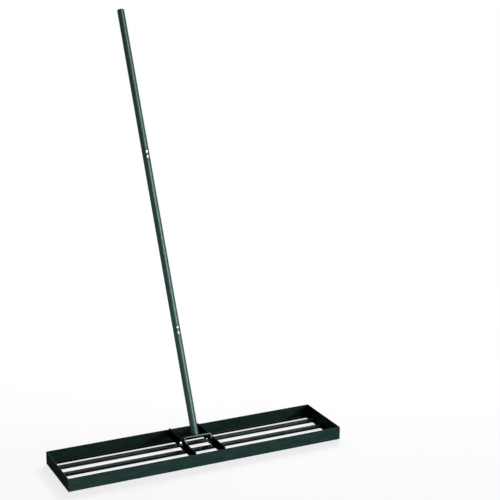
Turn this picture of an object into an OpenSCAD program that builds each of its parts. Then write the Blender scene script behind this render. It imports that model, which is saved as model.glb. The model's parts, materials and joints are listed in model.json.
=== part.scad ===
// Lawn leveling rake: a low open steel head, swung on a long jointed tube handle.
// X runs along the head, Y to the back and Z up. The origin is on the ground under the middle of the head.

/* [Head] */
// Width of the head, from side to side
head_w = 1067; // [700:1:1300]
// Depth of the head, from front to back
head_d = 254; // [220:1:320]
// Height of the walls
wall_h = 50; // [45:1:70]
// Thickness of the wall sheet
sheet = 2.5; // [1.5:0.1:4]
// How far the bottom lip reaches in from the outside of its wall
lip = 14; // [9:0.5:22]
// Inside radius of the bend between wall and lip
wall_bend = 2; // [1:0.25:4]

/* [Slats] */
// Height of a slat
slat_h = 11.5; // [8:0.5:14]
// Depth of a slat, from front to back
slat_d = 15; // [10:0.5:22]
// Thickness of the slat sheet
slat_t = 2.5; // [1.5:0.1:3.5]
// Inside radius of the slat's bend
slat_bend = 2.5; // [1:0.25:4]
// Distance from one slat to the next
slat_pitch = 63.5; // [50:0.5:72]

/* [Cross plates] */
// Height of the flat bar
plate_h = 35; // [28:1:40]
// Thickness of the flat bar
plate_t = 4; // [3:0.5:6]
// How far the plates stand above the walls
plate_rise = 6; // [0:0.5:12]
// Clear distance between the two plates
plate_gap = 111; // [95:1:140]
// Corner radius of a plate
plate_corner = 2; // [0.5:0.5:6]
// From the top of a plate down to its pivot hole
pivot_drop = 13.5; // [10:0.5:17]

/* [Pivot] */
// Diameter of the pivot bolts
pivot_d = 8; // [6:0.5:10]
// Width of the bolt head and nut across their flats
pivot_flats = 13; // [12:0.5:17]
// Height of the bolt head
pivot_head_h = 5.3; // [4:0.1:7]
// Height of the lock nut's hexagon
pivot_nut_h = 5.5; // [4.5:0.1:7]
// Height of the lock nut's round collar
pivot_collar_h = 2.5; // [1.5:0.1:4]
// Diameter of the lock nut's round collar
pivot_collar_d = 11.5; // [10.5:0.5:12]
// Length of bolt that shows past the nut
pivot_tip = 2; // [1:0.5:5]
// Diameter of the steel washers
washer_d = 16; // [14:0.5:20]
// Thickness of the steel washers
washer_t = 1.6; // [1:0.1:2.5]
// Diameter of the plastic friction washers
friction_d = 24; // [18:0.5:28]
// Thickness of the plastic friction washers
friction_t = 1; // [0.5:0.1:2]

/* [Yoke] */
// Width of the yoke's flat bar
yoke_w = 40; // [26:1:44]
// Thickness of the yoke's flat bar
yoke_t = 4; // [3:0.5:6]
// Inside radius of the yoke's bends
yoke_bend = 2.5; // [2:0.5:8]
// From the pivot to the top of the yoke
yoke_reach = 20.5; // [18:0.5:60]
// How far the tube stands behind the middle of the yoke
tube_back = 5; // [0:0.5:6]

/* [Handle] */
// How far the handle leans back from upright, in degrees
lean = 25.1; // [0:0.1:60]
// Outside diameter of the tube
tube_d = 28; // [24:0.5:32]
// Wall of the tube
tube_wall = 1.2; // [1:0.1:2]
// Length of the lower section
lower_len = 416; // [250:1:700]
// Length of the middle section
middle_len = 680; // [250:1:800]
// Length of the upper section
upper_len = 558; // [250:1:800]

/* [Handle joints] */
// Length of the sleeve inside a joint
sleeve_len = 90; // [80:1:160]
// Wall of the sleeve
sleeve_wall = 1.5; // [1:0.1:2.5]
// From the joint line down to the nearer bolt
joint_edge = 12; // [8:0.5:20]
// Distance between the two bolts of a joint
joint_bolt_gap = 20; // [13:0.5:28]
// Diameter of the joint bolts
joint_bolt_d = 5; // [4:0.5:6]
// Diameter of a joint bolt's domed head
joint_head_d = 9.5; // [8:0.5:12]
// Height of a joint bolt's domed head
joint_head_h = 2.75; // [2:0.25:4]
// Width of the key socket across its flats
socket_flats = 3; // [2.5:0.5:4]
// Depth of the key socket
socket_depth = 1.5; // [1:0.25:2]
// Width of a joint nut across its flats
joint_nut_flats = 8; // [7:0.5:10]
// Height of a joint nut
joint_nut_h = 4; // [3:0.25:6]
// Length of bolt that shows past the nut
joint_tip = 1.5; // [1:0.5:4]

/* [End cap] */
// Height of the cap's domed top
cap_h = 4; // [3:0.5:8]
// Radius of the rounding on the cap's top edge
cap_round = 2; // [1:0.25:2.5]
// Length of the cap's stem in the tube
cap_stem = 24; // [15:1:40]
// Wall of the hollow stem
cap_wall = 1.6; // [1:0.1:2.5]
// Number of gripping ribs on the stem
cap_ribs = 3; // [2:1:5]
// Height of a rib along the stem
cap_rib_h = 1.5; // [0.8:0.1:2.4]
// How far a rib stands out of the stem
cap_rib_out = 0.5; // [0.3:0.1:0.8]

/* [Edges] */
// Bevel on the outer edge of a cut tube end, and on the cap's lower edge
tube_bevel = 0.5; // [0.2:0.1:0.9]
// Bevel on the tip of a bolt
tip_bevel = 0.6; // [0.3:0.1:1]
// Rounding on the end of a lock nut's collar
collar_round = 1; // [0.4:0.1:1.4]

/* [Clearances] */
// Radial play of the yoke on the pivot bolts
run_play = 0.05; // [0.02:0.01:0.1]
// Side play between the yoke and its washers
side_play = 0.2; // [0.1:0.05:0.4]
// Radial play of bolts in fixed holes and washers
hole_play = 0.2; // [0.1:0.05:0.4]
// Radial play of a nut on its bolt
thread_play = 0.05; // [0.02:0.01:0.1]
// Radial play of sleeves and the cap in the tube
tube_play = 0.1; // [0.05:0.05:0.2]

/* [Hidden] */
$fn = 64;

coat = [0.11, 0.19, 0.18];
zinc = [0.76, 0.77, 0.79];
black_plastic = [0.05, 0.05, 0.055];
white_plastic = [0.88, 0.88, 0.84];
black_steel = [0.07, 0.07, 0.075];

// Room by which a cutting shape passes the solid it cuts
cut = 1;

inner_w = head_w - 2 * sheet;
inner_d = head_d - 2 * sheet;
open_w = head_w - 2 * lip;
open_d = head_d - 2 * lip;

plate_top = wall_h + plate_rise;
pivot_z = plate_top - pivot_drop;
plate_in = plate_gap / 2;
plate_out = plate_in + plate_t;
arm_out = plate_in - friction_t - side_play;
arm_in = arm_out - yoke_t;
inner_washer_x = arm_in - side_play - washer_t;
pivot_nut_x = inner_washer_x - pivot_nut_h - pivot_collar_h;
pivot_head_x = plate_out + washer_t;

tube_bore = tube_d - 2 * tube_wall;
lower_joint = yoke_reach + lower_len;
upper_joint = lower_joint + middle_len;
handle_top = upper_joint + upper_len;

// Profiles

// An angle with a rounded bend. Its outer corner is at the origin: one leg stands up, the other runs along X.
module angle_section(tall, wide, t, bend) {
    outer = bend + t;
    translate([0, outer]) square([t, tall - outer]);
    translate([outer, 0]) square([wide - outer, t]);
    intersection() {
        square(outer);
        translate([outer, outer]) difference() {
            circle(outer);
            circle(bend);
        }
    }
}

// A rectangle with all four corners rounded, from its lower left corner
module rounded_rectangle(w, h, r) {
    translate([r, 0]) square([w - 2 * r, h]);
    translate([0, r]) square([w, h - 2 * r]);
    for (x = [r, w - r], y = [r, h - r]) translate([x, y]) circle(r);
}

// A block with its two upper corners rounded, centred on X
module arch_section(half_w, low, high, r) {
    translate([-half_w, low]) square([2 * half_w, high - r - low]);
    translate([r - half_w, low]) square([2 * (half_w - r), high - low]);
    for (side = [-1, 1]) translate([side * (half_w - r), high - r]) circle(r);
}

// Turns a profile drawn in Y and Z into a bar of the given length, centred along X
module bar_along_x(length) {
    rotate([90, 0, 90]) linear_extrude(length, center = true) children();
}

// Builds for the right hand side, and mirrors it for the left
module on_side(side) {
    mirror([side < 0 ? 1 : 0, 0, 0]) children();
}

// The pivot's axis, with Z pointing outwards along X
module pivot_axis(x) {
    translate([x, 0, pivot_z]) rotate([0, 90, 0]) children();
}

// The handle's own frame: Z runs up the handle from the pivot, and -Y is the front
module handle_frame() {
    translate([0, 0, pivot_z]) rotate([-lean, 0, 0]) children();
}

// The same directions, on the tube's axis
module tube_frame() {
    handle_frame() translate([0, tube_back, 0]) children();
}

// Fasteners

// A hexagon with its upper edge chamfered, and its lower edge too if asked for
module hexagon(flats, h, both_ends) {
    corner = flats / (2 * cos(30));
    bevel = corner - flats / 2;
    low = both_ends ? bevel : 0;
    intersection() {
        cylinder(r = corner, h = h, $fn = 6);
        rotate_extrude() polygon([[0, 0], [corner - low, 0], [corner, low], [corner, h - bevel],
                                  [corner - bevel, h], [0, h]]);
    }
}

// A round shank from z = -length to 0, with a bevelled tip
module shank(d, length) {
    r = d / 2;
    rotate_extrude() polygon([[0, 0], [r, 0], [r, tip_bevel - length], [r - tip_bevel, -length], [0, -length]]);
}

module washer(d, t) {
    difference() {
        cylinder(d = d, h = t);
        translate([0, 0, -cut]) cylinder(d = pivot_d + 2 * hole_play, h = t + 2 * cut);
    }
}

module pivot_bolt(side) {
    on_side(side) pivot_axis(pivot_head_x) {
        hexagon(pivot_flats, pivot_head_h, false);
        shank(pivot_d, pivot_head_x - pivot_nut_x + pivot_tip);
    }
}

// A lock nut: its collar faces the middle of the head
module pivot_nut(side) {
    collar_r = pivot_collar_d / 2;
    total_h = pivot_nut_h + pivot_collar_h;
    on_side(side) pivot_axis(inner_washer_x) mirror([0, 0, 1]) difference() {
        union() {
            hexagon(pivot_flats, pivot_nut_h, true);
            rotate_extrude() {
                square([collar_r, total_h - collar_round]);
                square([collar_r - collar_round, total_h]);
                translate([collar_r - collar_round, total_h - collar_round]) circle(collar_round);
            }
        }
        translate([0, 0, -cut]) cylinder(d = pivot_d + 2 * thread_play, h = total_h + 2 * cut);
    }
}

// A bolt across the tube, with its domed head at the front and a key socket in it
module joint_bolt(place) {
    dome = (joint_head_h * joint_head_h + joint_head_d * joint_head_d / 4) / (2 * joint_head_h);
    translate([0, -tube_d / 2, place]) rotate([90, 0, 0]) {
        shank(joint_bolt_d, tube_d + joint_nut_h + joint_tip);
        difference() {
            intersection() {
                cylinder(d = joint_head_d, h = joint_head_h);
                translate([0, 0, joint_head_h - dome]) sphere(dome);
            }
            translate([0, 0, joint_head_h - socket_depth])
                cylinder(d = socket_flats / cos(30), h = socket_depth + cut, $fn = 6);
        }
    }
}

module joint_nut(place) {
    translate([0, tube_d / 2, place]) rotate([-90, 0, 0]) difference() {
        hexagon(joint_nut_flats, joint_nut_h, true);
        translate([0, 0, -cut]) cylinder(d = joint_bolt_d + 2 * thread_play, h = joint_nut_h + 2 * cut);
    }
}

// The two bolts of a joint lie below its line. The sleeve there is fixed in the foot of the section above.
function joint_places(joint) = [joint - joint_edge - joint_bolt_gap, joint - joint_edge];

module joint_holes(places) {
    for (place = places) translate([0, 0, place]) rotate([90, 0, 0])
        cylinder(d = joint_bolt_d + 2 * hole_play, h = tube_d + 2 * cut, center = true);
}

// Head

// A wall with its lip. The lip is left off near the corners, where it would meet the next wall.
module bent_wall(full, lipped) {
    bar_along_x(full) intersection() {
        angle_section(wall_h, lip, sheet, wall_bend);
        square([sheet, wall_h]);
    }
    bar_along_x(lipped) angle_section(wall_h, lip, sheet, wall_bend);
}

module long_wall() { translate([0, -head_d / 2, 0]) bent_wall(head_w, inner_w); }
module end_wall() { rotate([0, 0, 90]) translate([0, -head_w / 2, 0]) bent_wall(inner_d, open_d); }

module front_wall() { color(coat) long_wall(); }
module back_wall() { color(coat) rotate([0, 0, 180]) long_wall(); }
module right_end_wall() { color(coat) end_wall(); }
module left_end_wall() { color(coat) rotate([0, 0, 180]) end_wall(); }

// A slat: an angle with its bend at the top front. Its ends are notched to sit on the end walls' lips.
module slat(place) {
    module section() {
        translate([place - slat_t / 2, slat_h]) mirror([0, 1]) angle_section(slat_h, slat_d, slat_t, slat_bend);
    }
    bar_along_x(open_w) section();
    bar_along_x(inner_w - 2 * wall_bend) intersection() {
        section();
        translate([place - slat_d, sheet]) square([3 * slat_d, slat_h]);
    }
}

module rear_slat() { color(coat) slat(slat_pitch); }
module middle_slat() { color(coat) slat(0); }
module front_slat() { color(coat) slat(-slat_pitch); }

module cross_plate(side) {
    on_side(side) difference() {
        translate([plate_in + plate_t / 2, 0, 0]) bar_along_x(plate_t)
            translate([-inner_d / 2, plate_top - plate_h]) rounded_rectangle(inner_d, plate_h, plate_corner);
        pivot_axis(plate_in - cut) cylinder(d = pivot_d + 2 * hole_play, h = plate_t + 2 * cut);
    }
}

module left_cross_plate() { color(coat) cross_plate(-1); }
module right_cross_plate() { color(coat) cross_plate(1); }

// Pivot

module left_pivot_bolt() { color(zinc) pivot_bolt(-1); }
module right_pivot_bolt() { color(zinc) pivot_bolt(1); }
module left_pivot_nut() { color(black_steel) pivot_nut(-1); }
module right_pivot_nut() { color(black_steel) pivot_nut(1); }

module pivot_washers(x, d, t) {
    for (side = [-1, 1]) on_side(side) pivot_axis(x) washer(d, t);
}

module pivot_outer_washers() { color(zinc) pivot_washers(plate_out, washer_d, washer_t); }
module pivot_friction_washers() { color(white_plastic) pivot_washers(plate_in - friction_t, friction_d, friction_t); }
module pivot_inner_washers() { color(black_steel) pivot_washers(inner_washer_x, washer_d, washer_t); }

// Handle

// A flat bar bent to a U. The arms end round the pivot holes.
module yoke() {
    arm_round = yoke_w / 2;
    color(coat) handle_frame() difference() {
        intersection() {
            rotate([90, 0, 0]) linear_extrude(yoke_w, center = true) difference() {
                arch_section(arm_out, -arm_round, yoke_reach, yoke_bend + yoke_t);
                arch_section(arm_in, -arm_round - cut, yoke_reach - yoke_t, yoke_bend);
            }
            bar_along_x(2 * arm_out) {
                circle(arm_round);
                translate([-arm_round, 0]) square([yoke_w, yoke_reach]);
            }
        }
        rotate([0, 90, 0]) cylinder(d = pivot_d + 2 * run_play, h = 2 * (arm_out + cut), center = true);
    }
}

// A length of tube with the outer edges of its ends bevelled
module tube_section(from, to, holes) {
    bore_r = tube_bore / 2;
    r = tube_d / 2;
    color(coat) tube_frame() difference() {
        rotate_extrude() polygon([[bore_r, from], [r - tube_bevel, from], [r, from + tube_bevel],
                                  [r, to - tube_bevel], [r - tube_bevel, to], [bore_r, to]]);
        joint_holes(holes);
    }
}

module lower_tube() { tube_section(yoke_reach, lower_joint, joint_places(lower_joint)); }
module middle_tube() { tube_section(lower_joint, upper_joint, joint_places(upper_joint)); }
module upper_tube() { tube_section(upper_joint, handle_top, []); }

module coupling_sleeve(joint) {
    outer_d = tube_bore - 2 * tube_play;
    color(zinc) tube_frame() difference() {
        translate([0, 0, joint - sleeve_len / 2]) cylinder(d = outer_d, h = sleeve_len);
        translate([0, 0, joint - sleeve_len / 2 - cut])
            cylinder(d = outer_d - 2 * sleeve_wall, h = sleeve_len + 2 * cut);
        joint_holes(joint_places(joint));
    }
}

module lower_coupling_sleeve() { coupling_sleeve(lower_joint); }
module upper_coupling_sleeve() { coupling_sleeve(upper_joint); }

module joint_bolts(joint) {
    color(zinc) tube_frame() for (place = joint_places(joint)) joint_bolt(place);
}

module joint_nuts(joint) {
    color(zinc) tube_frame() for (place = joint_places(joint)) joint_nut(place);
}

module lower_joint_bolts() { joint_bolts(lower_joint); }
module upper_joint_bolts() { joint_bolts(upper_joint); }
module lower_joint_nuts() { joint_nuts(lower_joint); }
module upper_joint_nuts() { joint_nuts(upper_joint); }

// A plug: a rounded top as wide as the tube, on a hollow stem with gripping ribs
module end_cap() {
    rib_r = tube_bore / 2 - tube_play;
    stem_r = rib_r - cap_rib_out;
    rib_step = cap_stem / (cap_ribs + 1);
    top_r = tube_d / 2;
    color(black_plastic) tube_frame() translate([0, 0, handle_top]) rotate_extrude() {
        polygon([[0, 0], [top_r - tube_bevel, 0], [top_r, tube_bevel], [top_r, cap_h - cap_round],
                 [0, cap_h - cap_round]]);
        square([top_r - cap_round, cap_h]);
        translate([top_r - cap_round, cap_h - cap_round]) circle(cap_round);
        translate([stem_r - cap_wall, -cap_stem]) square([cap_wall, cap_stem]);
        for (rib = [1 : cap_ribs]) translate([stem_r - cap_wall, -rib * rib_step])
            square([cap_wall + cap_rib_out, cap_rib_h]);
    }
}

front_wall();
back_wall();
left_end_wall();
right_end_wall();
rear_slat();
middle_slat();
front_slat();
left_cross_plate();
right_cross_plate();
left_pivot_bolt();
right_pivot_bolt();
left_pivot_nut();
right_pivot_nut();
pivot_outer_washers();
pivot_friction_washers();
pivot_inner_washers();
yoke();
lower_tube();
middle_tube();
upper_tube();
lower_coupling_sleeve();
upper_coupling_sleeve();
lower_joint_bolts();
upper_joint_bolts();
lower_joint_nuts();
upper_joint_nuts();
end_cap();
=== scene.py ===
"""Looks of the lawn leveling rake: finishes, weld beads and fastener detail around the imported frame."""

import json
import math

import bpy
from mathutils import Matrix, Vector


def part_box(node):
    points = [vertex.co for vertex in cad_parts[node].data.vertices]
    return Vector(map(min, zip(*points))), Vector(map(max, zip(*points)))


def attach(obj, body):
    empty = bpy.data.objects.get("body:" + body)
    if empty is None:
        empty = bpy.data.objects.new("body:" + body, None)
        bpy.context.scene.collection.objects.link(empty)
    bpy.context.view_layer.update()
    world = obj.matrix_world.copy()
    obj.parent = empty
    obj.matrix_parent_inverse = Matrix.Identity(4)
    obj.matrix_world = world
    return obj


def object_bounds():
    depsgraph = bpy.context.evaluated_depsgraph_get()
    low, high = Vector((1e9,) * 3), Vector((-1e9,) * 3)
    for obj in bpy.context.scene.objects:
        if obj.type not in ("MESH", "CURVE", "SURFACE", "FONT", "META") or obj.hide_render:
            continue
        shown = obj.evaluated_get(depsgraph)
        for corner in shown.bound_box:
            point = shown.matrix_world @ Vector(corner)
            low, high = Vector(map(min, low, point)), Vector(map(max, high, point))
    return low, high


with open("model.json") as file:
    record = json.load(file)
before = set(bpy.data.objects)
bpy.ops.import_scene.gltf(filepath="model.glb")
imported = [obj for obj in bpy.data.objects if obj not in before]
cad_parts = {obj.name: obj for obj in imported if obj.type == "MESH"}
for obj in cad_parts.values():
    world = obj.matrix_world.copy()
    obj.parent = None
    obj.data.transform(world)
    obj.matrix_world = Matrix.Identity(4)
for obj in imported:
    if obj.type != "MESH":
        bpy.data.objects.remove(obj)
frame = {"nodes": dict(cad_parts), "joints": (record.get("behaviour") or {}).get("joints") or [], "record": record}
cad_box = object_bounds()

NODES = frame["nodes"]
RECORD = frame["record"]
MM = 0.001
ORIGIN = Vector((0, 0, 0))
MIDDLE = (cad_box[0] + cad_box[1]) / 2
UP = Vector((0, 0, 1))
SIDE = Vector((1, 0, 0))

# Camera, fitted to the photograph's corners of the head
CAMERA_PLACE = Vector((-1.6802, -3.8946, 1.8777))
CAMERA_PITCH = math.radians(14.655)
CAMERA_YAW = math.radians(25.940)
CAMERA_ROLL = math.radians(0.282)
CAMERA_LENS = 89.27
CAMERA_REACH = 400

# Colours, as linear red, green and blue
COAT = (0.0064, 0.0254, 0.0232)
COAT_LIGHT = (0.0140, 0.0366, 0.0333)
COAT_WORN = (0.040, 0.060, 0.056)
# Painted shade for the inner corners of the powder coat
COAT_CORNER_SHADE = (0.0030, 0.0070, 0.0065)
TUBE_TONE = (0.0152, 0.0535, 0.0492)
TUBE_TONE_LIGHT = (0.0198, 0.0635, 0.0588)
# Painted shade: darker copies of the powder coat's tones, for the cross plates and their welds
PLATE_SHADE_TONE = (0.0030, 0.0060, 0.0058)
PLATE_SHADE_TONE_LIGHT = (0.0045, 0.0080, 0.0077)
PLATE_SHADE_WORN = (0.006, 0.009, 0.0085)
ZINC = (0.62, 0.63, 0.66)
ZINC_WARM = (0.70, 0.68, 0.60)
BLACK_STEEL = (0.020, 0.020, 0.022)
BLACK_STEEL_LIGHT = (0.042, 0.041, 0.040)
NYLON = (0.78, 0.78, 0.72)
NYLON_DARK = (0.66, 0.66, 0.60)
PLASTIC = (0.012, 0.012, 0.013)
PLASTIC_LIGHT = (0.024, 0.024, 0.026)
WHITE = (1, 1, 1)


# Shader helpers

EDGE_RADIUS = 1.2 * MM
EDGE_SAMPLES = 4
EDGE_FLAT = 0.995
EDGE_SHARP = 0.80
# Reach and limits of the painted shade in inner corners, found by ambient occlusion
CORNER_REACH = 34 * MM
CORNER_SAMPLES = 6
CORNER_OPEN = 0.96
CORNER_CLOSED = 0.50
CORNER_MOST = 0.9


class Shader:
    """The node tree of a material or world, with short ways to add and join nodes."""

    def __init__(self, owner):
        self.owner = owner
        owner.use_nodes = True
        self.nodes = owner.node_tree.nodes
        self.links = owner.node_tree.links
        self.nodes.clear()
        is_world = isinstance(owner, bpy.types.World)
        self.output = self.add("ShaderNodeOutputWorld" if is_world else "ShaderNodeOutputMaterial")

    def add(self, kind, values=None, **settings):
        """Adds a node. Settings are its own properties, and values are put on its input sockets."""
        made = self.nodes.new(kind)
        for key, value in settings.items():
            setattr(made, key, value)
        for socket, value in (values or {}).items():
            made.inputs[socket].default_value = value
        return made

    def join(self, source, target):
        """Links an output socket to an input socket."""
        self.links.new(source, target)

    def principled(self, **values):
        """The main shader, with values by the names of its sockets in small letters."""
        named = {key.replace("_", " ").title().replace("Ior", "IOR"): value for key, value in values.items()}
        shader = self.add("ShaderNodeBsdfPrincipled", named)
        self.join(shader.outputs["BSDF"], self.output.inputs["Surface"])
        return shader

    def place(self):
        """The object's own coordinates, in metres."""
        return self.add("ShaderNodeTexCoord").outputs["Object"]

    def noise(self, scale, detail, roughness=0.5, stretch=None):
        """Noise over the object's own coordinates. A stretch below one draws it out along an axis."""
        made = self.add("ShaderNodeTexNoise", {"Scale": scale, "Detail": detail, "Roughness": roughness})
        place = self.place()
        if stretch:
            drawn = self.add("ShaderNodeVectorMath", {1: stretch}, operation="MULTIPLY")
            self.join(place, drawn.inputs[0])
            place = drawn.outputs["Vector"]
        self.join(place, made.inputs["Vector"])
        return made.outputs["Fac"]

    def span(self, value, low, high, to_low=0, to_high=1):
        """Spreads the values from low to high out over another range."""
        limits = {"From Min": low, "From Max": high, "To Min": to_low, "To Max": to_high}
        made = self.add("ShaderNodeMapRange", limits)
        self.join(value, made.inputs["Value"])
        return made.outputs["Result"]

    def patches(self, low, high, to_low=0, to_high=1, **noise):
        """Noise, with its values from low to high spread out over another range."""
        return self.span(self.noise(**noise), low, high, to_low, to_high)

    def grain(self, strength, depth, **noise):
        """A normal that is bumpy with noise."""
        made = self.add("ShaderNodeBump", {"Strength": strength, "Distance": depth})
        self.join(self.noise(**noise), made.inputs["Height"])
        return made.outputs["Normal"]

    def mix(self, share, first, second):
        """Mixes two colours. Each is a plain colour or a socket."""
        made = self.add("ShaderNodeMix", data_type="RGBA")
        self.join(share, made.inputs["Factor"])
        for socket, value in ((made.inputs[6], first), (made.inputs[7], second)):
            if isinstance(value, tuple):
                socket.default_value = (*value, 1)
            else:
                self.join(value, socket)
        return made.outputs[2]

    def combined(self, operation, first, second):
        """A sum, product or other operation on two values."""
        made = self.add("ShaderNodeMath", operation=operation)
        self.join(first, made.inputs[0])
        self.join(second, made.inputs[1])
        return made.outputs["Value"]

    def blended(self, share, first, second):
        """A shader that goes from the first to the second with the share."""
        made = self.add("ShaderNodeMixShader")
        self.join(share, made.inputs["Fac"])
        self.join(first, made.inputs[1])
        self.join(second, made.inputs[2])
        return made.outputs["Shader"]

    def corners(self):
        """Near one in the inner corners of a piece, where the painted shade goes, and nought on its open faces."""
        values = {"Distance": CORNER_REACH}
        free = self.add("ShaderNodeAmbientOcclusion", values, samples=CORNER_SAMPLES, only_local=True)
        return self.span(free.outputs["AO"], CORNER_OPEN, CORNER_CLOSED, to_high=CORNER_MOST)

    def edges(self):
        """One along sharp outer and inner edges, falling to nought a radius away."""
        rounded = self.add("ShaderNodeBevel", {"Radius": EDGE_RADIUS}, samples=EDGE_SAMPLES)
        flat = self.add("ShaderNodeNewGeometry").outputs["Normal"]
        dot = self.add("ShaderNodeVectorMath", operation="DOT_PRODUCT")
        self.join(rounded.outputs["Normal"], dot.inputs[0])
        self.join(flat, dot.inputs[1])
        return self.span(dot.outputs["Value"], EDGE_FLAT, EDGE_SHARP)

    def seen_rays(self):
        """One for camera, glossy and transmission rays, nought for the rays that light the object."""
        path = self.add("ShaderNodeLightPath")
        seen = path.outputs["Is Camera Ray"]
        for ray in ("Is Glossy Ray", "Is Transmission Ray"):
            seen = self.combined("MAXIMUM", seen, path.outputs[ray])
        return seen


# Materials

WEAR = {"scale": 160, "detail": 3, "low": 0.42, "high": 0.70, "to_high": 0.8}
# Patches that make the painted corner shade uneven
CORNER_SHADE_PATCHES = {"scale": 30, "detail": 4, "low": 0.30, "high": 0.70, "to_low": 0.70}
CLOUDS = {"scale": 9, "detail": 4, "low": 0.38, "high": 0.62}
STREAKS = {"scale": 62, "detail": 3, "stretch": (0.26, 1, 1), "low": 0.38, "high": 0.62}
SATIN_ROUGHNESS = {"scale": 45, "detail": 4, "low": 0.3, "high": 0.7, "to_low": 0.46, "to_high": 0.56}
ORANGE_PEEL = {"scale": 700, "detail": 2, "strength": 0.12, "depth": 0.15 * MM}

# A coat of high index and little weight reflects about the same share at every angle
LACQUER = {"specular_ior_level": 0.0, "coat_ior": 4.0}
SATIN = {**LACQUER, "coat_weight": 0.018, "coat_roughness": 0.40}
SHEEN = {**LACQUER, "coat_weight": 0.06, "coat_roughness": 0.42}
GLOSS = {**SHEEN, "metallic": 0.3}
MATT = {**LACQUER, "coat_weight": 0.006, "coat_roughness": 0.46}


def finish(name, tones, worn=None, *, clouds, roughness, grain, gloss):
    """A finish of two tones in patches, with uneven roughness and a fine grain.

    One with a worn tone also has rubbed edges, and painted shade that darkens its inner corners.
    """
    s = Shader(bpy.data.materials.new(name))
    shader = s.principled(**gloss)
    tone = s.mix(s.patches(**clouds), *tones)
    if worn:
        rub = s.combined("MULTIPLY", s.edges(), s.patches(**WEAR))
        # Painted shade: darker towards inner corners, by ambient occlusion, in uneven patches
        painted_shade = s.combined("MULTIPLY", s.corners(), s.patches(**CORNER_SHADE_PATCHES))
        tone = s.mix(painted_shade, s.mix(rub, tone, worn), COAT_CORNER_SHADE)
    s.join(tone, shader.inputs["Base Color"])
    s.join(s.patches(**roughness), shader.inputs["Roughness"])
    s.join(s.grain(**grain), shader.inputs["Normal"])
    return s.owner


def powder_coat(name, tones, worn, clouds, gloss):
    """Dark powder coat, with a fine orange peel."""
    return finish(name, tones, worn, clouds=clouds, roughness=SATIN_ROUGHNESS, grain=ORANGE_PEEL, gloss=gloss)


# Zinc has faint warm patches and fine tumbling marks, and black steel a dull oily tone. Nylon is a little
# see-through with moulding clouds, and the black plastic has a fine spark-eroded grain
MATERIALS = {
    "powder_coat": powder_coat("powder_coat", (COAT, COAT_LIGHT), COAT_WORN, STREAKS, SATIN),
    "zinc": finish(
        "zinc", (ZINC, ZINC_WARM),
        clouds={"scale": 220, "detail": 3, "low": 0.4, "high": 0.7, "to_high": 0.6},
        roughness={"scale": 900, "detail": 3, "low": 0.3, "high": 0.7, "to_low": 0.22, "to_high": 0.38},
        grain={"scale": 2600, "detail": 2, "strength": 0.10, "depth": 0.05 * MM},
        gloss={"metallic": 1.0},
    ),
    "black_steel": finish(
        "black_steel", (BLACK_STEEL, BLACK_STEEL_LIGHT),
        clouds={"scale": 400, "detail": 3, "low": 0, "high": 1},
        roughness={"scale": 700, "detail": 3, "low": 0.3, "high": 0.7, "to_low": 0.40, "to_high": 0.56},
        grain={"scale": 2200, "detail": 2, "strength": 0.10, "depth": 0.05 * MM},
        gloss={"metallic": 0.6, "specular_ior_level": 0.3},
    ),
    "white_plastic": finish(
        "white_plastic", (NYLON, NYLON_DARK),
        clouds={"scale": 260, "detail": 3, "low": 0, "high": 1},
        roughness={"scale": 500, "detail": 2, "low": 0.3, "high": 0.7, "to_low": 0.42, "to_high": 0.55},
        grain={"scale": 1500, "detail": 2, "strength": 0.08, "depth": 0.05 * MM},
        gloss={"subsurface_weight": 0.15, "subsurface_scale": 1.0 * MM},
    ),
    "black_plastic": finish(
        "black_plastic", (PLASTIC, PLASTIC_LIGHT),
        clouds={"scale": 320, "detail": 3, "low": 0, "high": 1},
        roughness={"scale": 600, "detail": 2, "low": 0.3, "high": 0.7, "to_low": 0.50, "to_high": 0.64},
        grain={"scale": 1800, "detail": 3, "roughness": 0.7, "strength": 0.25, "depth": 0.08 * MM},
        gloss={"specular_ior_level": 0.35},
    ),
}
TUBE_COAT = powder_coat("tube_coat", (TUBE_TONE, TUBE_TONE_LIGHT), COAT_WORN, CLOUDS, GLOSS)
YOKE_COAT = powder_coat("yoke_coat", (COAT, COAT_LIGHT), COAT_WORN, STREAKS, SHEEN)
# The cross plates get a darker copy of the powder coat, which paints their shade
SHADED_PLATE_COAT = powder_coat("shaded_plate_coat", (PLATE_SHADE_TONE, PLATE_SHADE_TONE_LIGHT), PLATE_SHADE_WORN, CLOUDS, MATT)
FINISHES = {
    "yoke": YOKE_COAT, "lower_tube": TUBE_COAT, "middle_tube": TUBE_COAT, "upper_tube": TUBE_COAT,
    "left_cross_plate": SHADED_PLATE_COAT, "right_cross_plate": SHADED_PLATE_COAT,
}


def finish_nodes():
    """Gives each CAD node its own finish, or else the one of the slot that the record names for it."""
    for part in RECORD["subparts"]:
        mesh = NODES[part["node"]].data
        mesh.materials.clear()
        mesh.materials.append(FINISHES.get(part["node"], MATERIALS[part["material_slot"]]))


# Geometry helpers

def add_piece(name, points, faces, slot, body, coat=None):
    """Makes a smooth mesh piece with a coat, or else the finish of its slot, and lets it ride on a body."""
    mesh = bpy.data.meshes.new(name)
    mesh.from_pydata(points, [], faces)
    mesh.validate()
    for face in mesh.polygons:
        face.use_smooth = True
    mesh.materials.append(coat or MATERIALS[slot])
    piece = bpy.data.objects.new(name, mesh)
    bpy.context.scene.collection.objects.link(piece)
    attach(piece, body)


def swept(rings, closed):
    """Points and faces of a skin over rings of equal count. An open skin is closed by a face at each end."""
    count = len(rings[0])
    points = [point for ring in rings for point in ring]
    faces = []
    for i in range(len(rings) if closed else len(rings) - 1):
        here = i * count
        there = (i + 1) % len(rings) * count
        for k in range(count):
            after = (k + 1) % count
            faces.append((here + k, here + after, there + after, there + k))
    if not closed:
        last = (len(rings) - 1) * count
        faces.append(tuple(reversed(range(count))))
        faces.append(tuple(range(last, last + count)))
    return points, faces


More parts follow.
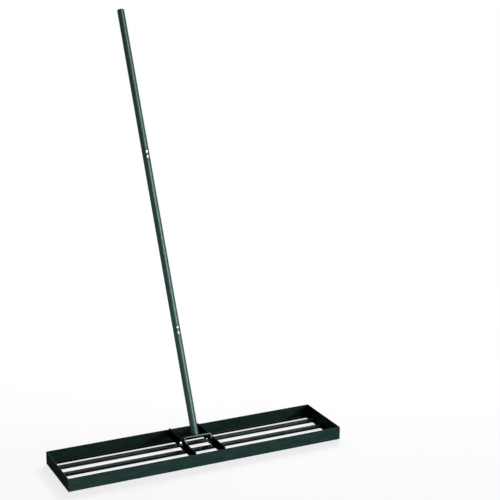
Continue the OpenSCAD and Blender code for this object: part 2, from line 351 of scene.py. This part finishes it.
def add_skins(name, runs, slot, body, coat=None):
    """One piece that holds several skins. Each run is its rings and whether it closes on itself."""
    points, faces = [], []
    for rings, closed in runs:
        more_points, more_faces = swept(rings, closed)
        first = len(points)
        points += more_points
        faces += [tuple(first + k for k in face) for face in more_faces]
    add_piece(name, points, faces, slot, body, coat)


def facing(axis):
    """The turn that brings the Z axis onto an axis."""
    return axis.to_track_quat("Z", "Y")


def spoke(turn, angle):
    """The direction square to a turned axis, at an angle round it."""
    return turn @ Vector((math.cos(angle), math.sin(angle), 0))


def circle(centre, along, radius, count):
    """Points round a centre, square to a direction."""
    turn = facing(along)
    return [centre + spoke(turn, 2 * math.pi * k / count) * radius for k in range(count)]


# Weld beads

BEAD_SIDES = 10
BEAD_STEP = 0.35 * MM
BEAD_LEAST_STEPS = 8
BEAD_END = 0.02
RIPPLE = 1.9 * MM
RIPPLE_SHARE = 0.16
PLATE_BEAD = 1.6 * MM
SLAT_BEAD = 1.8 * MM
CORNER_BEAD = 1.5 * MM
HANDLE_BEAD = 1.9 * MM
HANDLE_BEAD_RISE = HANDLE_BEAD / 4
HANDLE_BEAD_OUT = HANDLE_BEAD / 5
YOKE_EDGE_INSET = 0.2 * MM


def bead_radius(travel, radius):
    """The radius of a bead along its run: a row of overlapping puddles."""
    phase = travel / RIPPLE % 1
    return radius * (1 - RIPPLE_SHARE * phase * phase)


def straight_bead(start, end, radius):
    """Rings of a bead from one point to another, with rounded ends."""
    length = (end - start).length
    along = (end - start).normalized()
    steps = max(BEAD_LEAST_STEPS, round(length / BEAD_STEP))
    rings = []
    for i in range(steps + 1):
        travel = length * i / steps
        to_end = min(travel, length - travel, radius)
        taper = math.sqrt(max(BEAD_END, 1 - (1 - to_end / radius) ** 2))
        rings.append(circle(start + along * travel, along, bead_radius(travel, radius) * taper, BEAD_SIDES))
    return rings


def ring_bead(centre, axis, ring_radius, radius):
    """Rings of a bead that runs once round an axis."""
    turn = facing(axis)
    count = round(2 * math.pi * ring_radius / BEAD_STEP)
    puddles = round(2 * math.pi * ring_radius / RIPPLE)
    rings = []
    for i in range(count):
        angle = 2 * math.pi * i / count
        place = centre + spoke(turn, angle) * ring_radius
        along = spoke(turn, angle + math.pi / 2)
        travel = i / count * puddles * RIPPLE
        rings.append(circle(place, along, bead_radius(travel, radius), BEAD_SIDES))
    return rings


def head_welds():
    """Beads at the plates' ends, the slats' ends and the corners of the head."""
    front_low, front_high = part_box("front_wall")
    back_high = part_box("back_wall")[1]
    plate_runs, slat_runs, corner_runs = [], [], []
    for plate in ("left_cross_plate", "right_cross_plate"):
        low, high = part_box(plate)
        sheet = low.y - front_low.y
        for x in (low.x, high.x):
            for y in (low.y, high.y):
                foot = Vector((x, y, low.z + PLATE_BEAD))
                head = Vector((x, y, front_high.z - PLATE_BEAD))
                plate_runs.append((straight_bead(foot, head, PLATE_BEAD), False))
    inner_x = front_high.x - sheet
    for slat in ("rear_slat", "middle_slat", "front_slat"):
        low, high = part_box(slat)
        for side in (-1, 1):
            x = side * (high.x + inner_x) / 2
            z = high.z - SLAT_BEAD
            start = Vector((x, low.y + SLAT_BEAD, z))
            end = Vector((x, high.y - SLAT_BEAD / 2, z))
            slat_runs.append((straight_bead(start, end, SLAT_BEAD), False))
    for x in (-inner_x, inner_x):
        for y in (front_low.y + sheet, back_high.y - sheet):
            foot = Vector((x, y, 2 * sheet))
            head = Vector((x, y, front_high.z - 2 * CORNER_BEAD))
            corner_runs.append((straight_bead(foot, head, CORNER_BEAD), False))
    add_skins("plate_welds", plate_runs, "powder_coat", "head", SHADED_PLATE_COAT)
    add_skins("slat_welds", slat_runs, "powder_coat", "head")
    add_skins("corner_welds", corner_runs, "powder_coat", "head")


# The handle's own frame: its axis from the pivot, and its tube

PIVOT = Vector(frame["joints"][0]["pos_m"])
GRIP = next(mount for mount in RECORD["mounts"] if mount["name"] == "tube_grip")
HANDLE_UP = Vector(GRIP["axis"]).normalized()
HANDLE_BACK = HANDLE_UP.cross(SIDE)
TUBE_RADIUS = GRIP["dims"]["r_mm"] * MM
GRIP_PLACE = Vector(GRIP["pos_m"])
# The point of the tube's axis that is level with the pivot
TUBE_BASE = GRIP_PLACE - HANDLE_UP * (GRIP_PLACE - PIVOT).dot(HANDLE_UP)


def reach(node, centre, along):
    """How far a node reaches from a centre along a direction."""
    return max((v.co - centre).dot(along) for v in NODES[node].data.vertices)


def along_handle(node):
    """Lowest and highest place of a CAD node along the handle, from the pivot."""
    places = [(v.co - PIVOT).dot(HANDLE_UP) for v in NODES[node].data.vertices]
    return min(places), max(places)


def handle_weld():
    """The bead that joins the lower tube to the yoke. It ends just short of the yoke's back edge."""
    foot = along_handle("lower_tube")[0]
    centre = TUBE_BASE + HANDLE_UP * (foot + HANDLE_BEAD_RISE)
    rings = ring_bead(centre, HANDLE_UP, TUBE_RADIUS + HANDLE_BEAD_OUT, HANDLE_BEAD)
    edge = reach("yoke", TUBE_BASE, HANDLE_BACK) - YOKE_EDGE_INSET
    for ring in rings:
        for point in ring:
            point -= HANDLE_BACK * max(0, (point - TUBE_BASE).dot(HANDLE_BACK) - edge)
    add_skins("handle_weld", [(rings, True)], "powder_coat", "handle", YOKE_COAT)


# Fastener detail

TURN_STEPS = 48
RISE_STEPS = TURN_STEPS / 4
PIVOT_PITCH = 1.25 * MM
JOINT_PITCH = 0.8 * MM
TIP_BEVEL = 0.6 * MM
RIDGE_WIDTH = 0.32
RIDGE_HEIGHT = 0.16
RING_PROFILE = ((0, 0), (1, 0), (1, 0.7), (0.85, 1), (0.15, 1), (0, 0.7))
INSERT_GAP = 0.2 * MM
INSERT_WIDTH = 0.6 * MM
INSERT_HEIGHT = 0.3 * MM


def thread(tip, inward, radius, pitch, length):
    """Rings of a screw thread's ridge round a bolt's end, from its tip inward."""
    turn = facing(inward)
    half = pitch * RIDGE_WIDTH
    steps = round(length / pitch * TURN_STEPS)
    rings = []
    for i in range(steps + 1):
        out = spoke(turn, 2 * math.pi * i / TURN_STEPS)
        fade = min(1, min(i, steps - i) / RISE_STEPS)
        middle = tip + inward * (half + (length - 2 * half) * i / steps) + out * radius
        root = out * pitch * RIDGE_HEIGHT
        rings.append([middle - inward * half - root, middle + inward * half - root, middle + root * fade])
    return rings


def flat_ring(centre, along, inner, outer, height):
    """Rings of a flat collar with bevelled edges that stands on a face."""
    turn = facing(along)
    rings = []
    for i in range(TURN_STEPS):
        out = spoke(turn, -2 * math.pi * i / TURN_STEPS)
        rings.append([centre + out * (inner + (outer - inner) * wide) + along * height * high
                      for wide, high in RING_PROFILE])
    return rings


def end_radius(node, centre, along, across):
    """The radius of a bolt just behind its tip, measured across it."""
    end = reach(node, centre, along) - 2 * TIP_BEVEL
    arms = [v.co - centre for v in NODES[node].data.vertices]
    return max(arm.dot(across) for arm in arms if arm.dot(along) > end)


def pivot_detail():
    """Threads on the ends of the pivot bolts, and the plastic rings in their lock nuts."""
    threads, inserts = [], []
    for side, inner in (("left", SIDE), ("right", -SIDE)):
        bolt = f"{side}_pivot_bolt"
        tip = reach(bolt, PIVOT, inner)
        face = reach(f"{side}_pivot_nut", PIVOT, inner)
        radius = end_radius(bolt, PIVOT, inner, UP)
        start = PIVOT + inner * (tip - TIP_BEVEL)
        threads.append((thread(start, -inner, radius, PIVOT_PITCH, tip - TIP_BEVEL - face), False))
        hole = radius + INSERT_GAP
        collar = flat_ring(PIVOT + inner * face, inner, hole, hole + INSERT_WIDTH, INSERT_HEIGHT)
        inserts.append((collar, True))
    add_skins("pivot_threads", threads, "zinc", "head")
    add_skins("lock_nut_inserts", inserts, "white_plastic", "head")


def joint_detail():
    """Threads on the ends of the bolts at the handle's joints."""
    threads = []
    for joint in ("lower", "upper"):
        bolts = f"{joint}_joint_bolts"
        tip = reach(bolts, TUBE_BASE, HANDLE_BACK)
        face = reach(f"{joint}_joint_nuts", TUBE_BASE, HANDLE_BACK)
        low, high = along_handle(bolts)
        half_head = reach(bolts, TUBE_BASE, SIDE)
        radius = end_radius(bolts, TUBE_BASE, HANDLE_BACK, SIDE)
        for place in (low + half_head, high - half_head):
            start = TUBE_BASE + HANDLE_UP * place + HANDLE_BACK * (tip - TIP_BEVEL)
            threads.append((thread(start, -HANDLE_BACK, radius, JOINT_PITCH, tip - TIP_BEVEL - face), False))
    add_skins("joint_threads", threads, "zinc", "handle")


# Stage, light and camera

FLOOR_HALF = 90
FLOOR_COLOUR = (0.24, 0.24, 0.24)
FLOOR_SEEN = (0.97, 0.97, 0.97)
SHADOW_SHARE = 0.2
SHADOW_NEAR = 1.0
SHADOW_FAR = 2.6
WALL_TOP = 0.20
WALL_FADE = 0.26
ROOM = 0.05

# Soft boxes, in metres and watts. The strip and the glint show only in reflections, on the tube and on the
# pivot bolt's head
LAMPS = {
    "key_lamp": {"place": (4.1, -6.6, 1.75), "aim": MIDDLE, "size": (0.8, 0.8), "power": 245},
    "low_lamp": {"place": (-0.9, -4.0, 0.045), "aim": ORIGIN, "size": (0.8, 0.06), "power": 80},
    "top_lamp": {"place": (3.7, 4.2, 4.2), "aim": ORIGIN, "size": (2.0, 2.0), "power": 440},
    "back_lamp": {"place": (0.8, 4.0, 2.6), "aim": MIDDLE, "size": (1.6, 1.6), "power": 95},
    "strip_lamp": {"place": (2.1, -3.1, 2.8), "aim": MIDDLE, "size": (1.0, 3.8), "power": 400,
                   "diffuse": False},
    "glint_lamp": {"place": (0.6, 0.4, 3.8), "aim": ORIGIN, "size": (1.6, 1.6), "power": 75,
                   "diffuse": False},
}


def floor():
    """A white floor for the camera, which still takes the rake's shadow."""
    s = Shader(bpy.data.materials.new("floor"))
    plain = s.add("ShaderNodeBsdfDiffuse", {"Color": (*FLOOR_COLOUR, 1)})
    pale = s.add("ShaderNodeBsdfDiffuse", {"Color": (*FLOOR_SEEN, 1)})
    glow = s.add("ShaderNodeEmission", {"Color": (*WHITE, 1), "Strength": 1.0})
    distance = s.add("ShaderNodeVectorMath", operation="LENGTH")
    s.join(s.place(), distance.inputs[0])
    share = s.span(distance.outputs["Value"], SHADOW_NEAR, SHADOW_FAR, SHADOW_SHARE, 0)
    shown = s.blended(share, glow.outputs["Emission"], pale.outputs["BSDF"])
    chosen = s.blended(s.seen_rays(), plain.outputs["BSDF"], shown)
    s.join(chosen, s.output.inputs["Surface"])
    s.owner.cycles.emission_sampling = "NONE"
    corners = [(x * FLOOR_HALF, y * FLOOR_HALF, 0) for x, y in ((-1, -1), (1, -1), (1, 1), (-1, 1))]
    mesh = bpy.data.meshes.new("floor")
    mesh.from_pydata(corners, [], [(0, 1, 2, 3)])
    mesh.materials.append(s.owner)
    ground = bpy.data.objects.new("floor", mesh)
    bpy.context.scene.collection.objects.link(ground)


def lamp(name, place, aim, size, power, diffuse=True):
    """A soft box that faces an aim, and that the camera doesn't see."""
    data = bpy.data.lights.new(name, "AREA")
    data.shape = "RECTANGLE"
    data.size, data.size_y = size
    data.energy = power
    made = bpy.data.objects.new(name, data)
    made.visible_camera = False
    made.visible_diffuse = diffuse
    made.location = place
    made.rotation_mode = "QUATERNION"
    made.rotation_quaternion = (aim - Vector(place)).to_track_quat("-Z", "Y")
    bpy.context.scene.collection.objects.link(made)


def studio():
    """A dim room with its lamps, and a low white wall that only the camera and reflections see."""
    world = Shader(bpy.data.worlds.new("studio"))
    bpy.context.scene.world = world.owner
    parts = world.add("ShaderNodeSeparateXYZ")
    world.join(world.add("ShaderNodeTexCoord").outputs["Generated"], parts.inputs["Vector"])
    wall = world.add("ShaderNodeBackground", {"Color": (*WHITE, 1)})
    world.join(world.span(parts.outputs["Z"], WALL_TOP, WALL_FADE, 1, ROOM), wall.inputs["Strength"])
    room = world.add("ShaderNodeBackground", {"Color": (*WHITE, 1), "Strength": ROOM})
    chosen = world.blended(world.seen_rays(), room.outputs["Background"], wall.outputs["Background"])
    world.join(chosen, world.output.inputs["Surface"])
    for name, values in LAMPS.items():
        lamp(name, **values)


def camera():
    """The photograph's camera."""
    ahead = Vector((math.sin(CAMERA_YAW) * math.cos(CAMERA_PITCH),
                    math.cos(CAMERA_YAW) * math.cos(CAMERA_PITCH),
                    -math.sin(CAMERA_PITCH)))
    right = Matrix.Rotation(-CAMERA_ROLL, 3, ahead) @ ahead.cross(UP).normalized()
    above = right.cross(ahead)
    turn = Matrix((right, above, -ahead)).transposed().to_4x4()
    data = bpy.data.cameras.new("camera")
    data.lens = CAMERA_LENS
    data.clip_end = CAMERA_REACH
    made = bpy.data.objects.new("camera", data)
    made.matrix_world = Matrix.Translation(CAMERA_PLACE) @ turn
    bpy.context.scene.collection.objects.link(made)
    bpy.context.scene.camera = made


finish_nodes()
head_welds()
handle_weld()
pivot_detail()
joint_detail()
floor()
studio()
camera()
bpy.context.scene.view_settings.view_transform = "Standard"
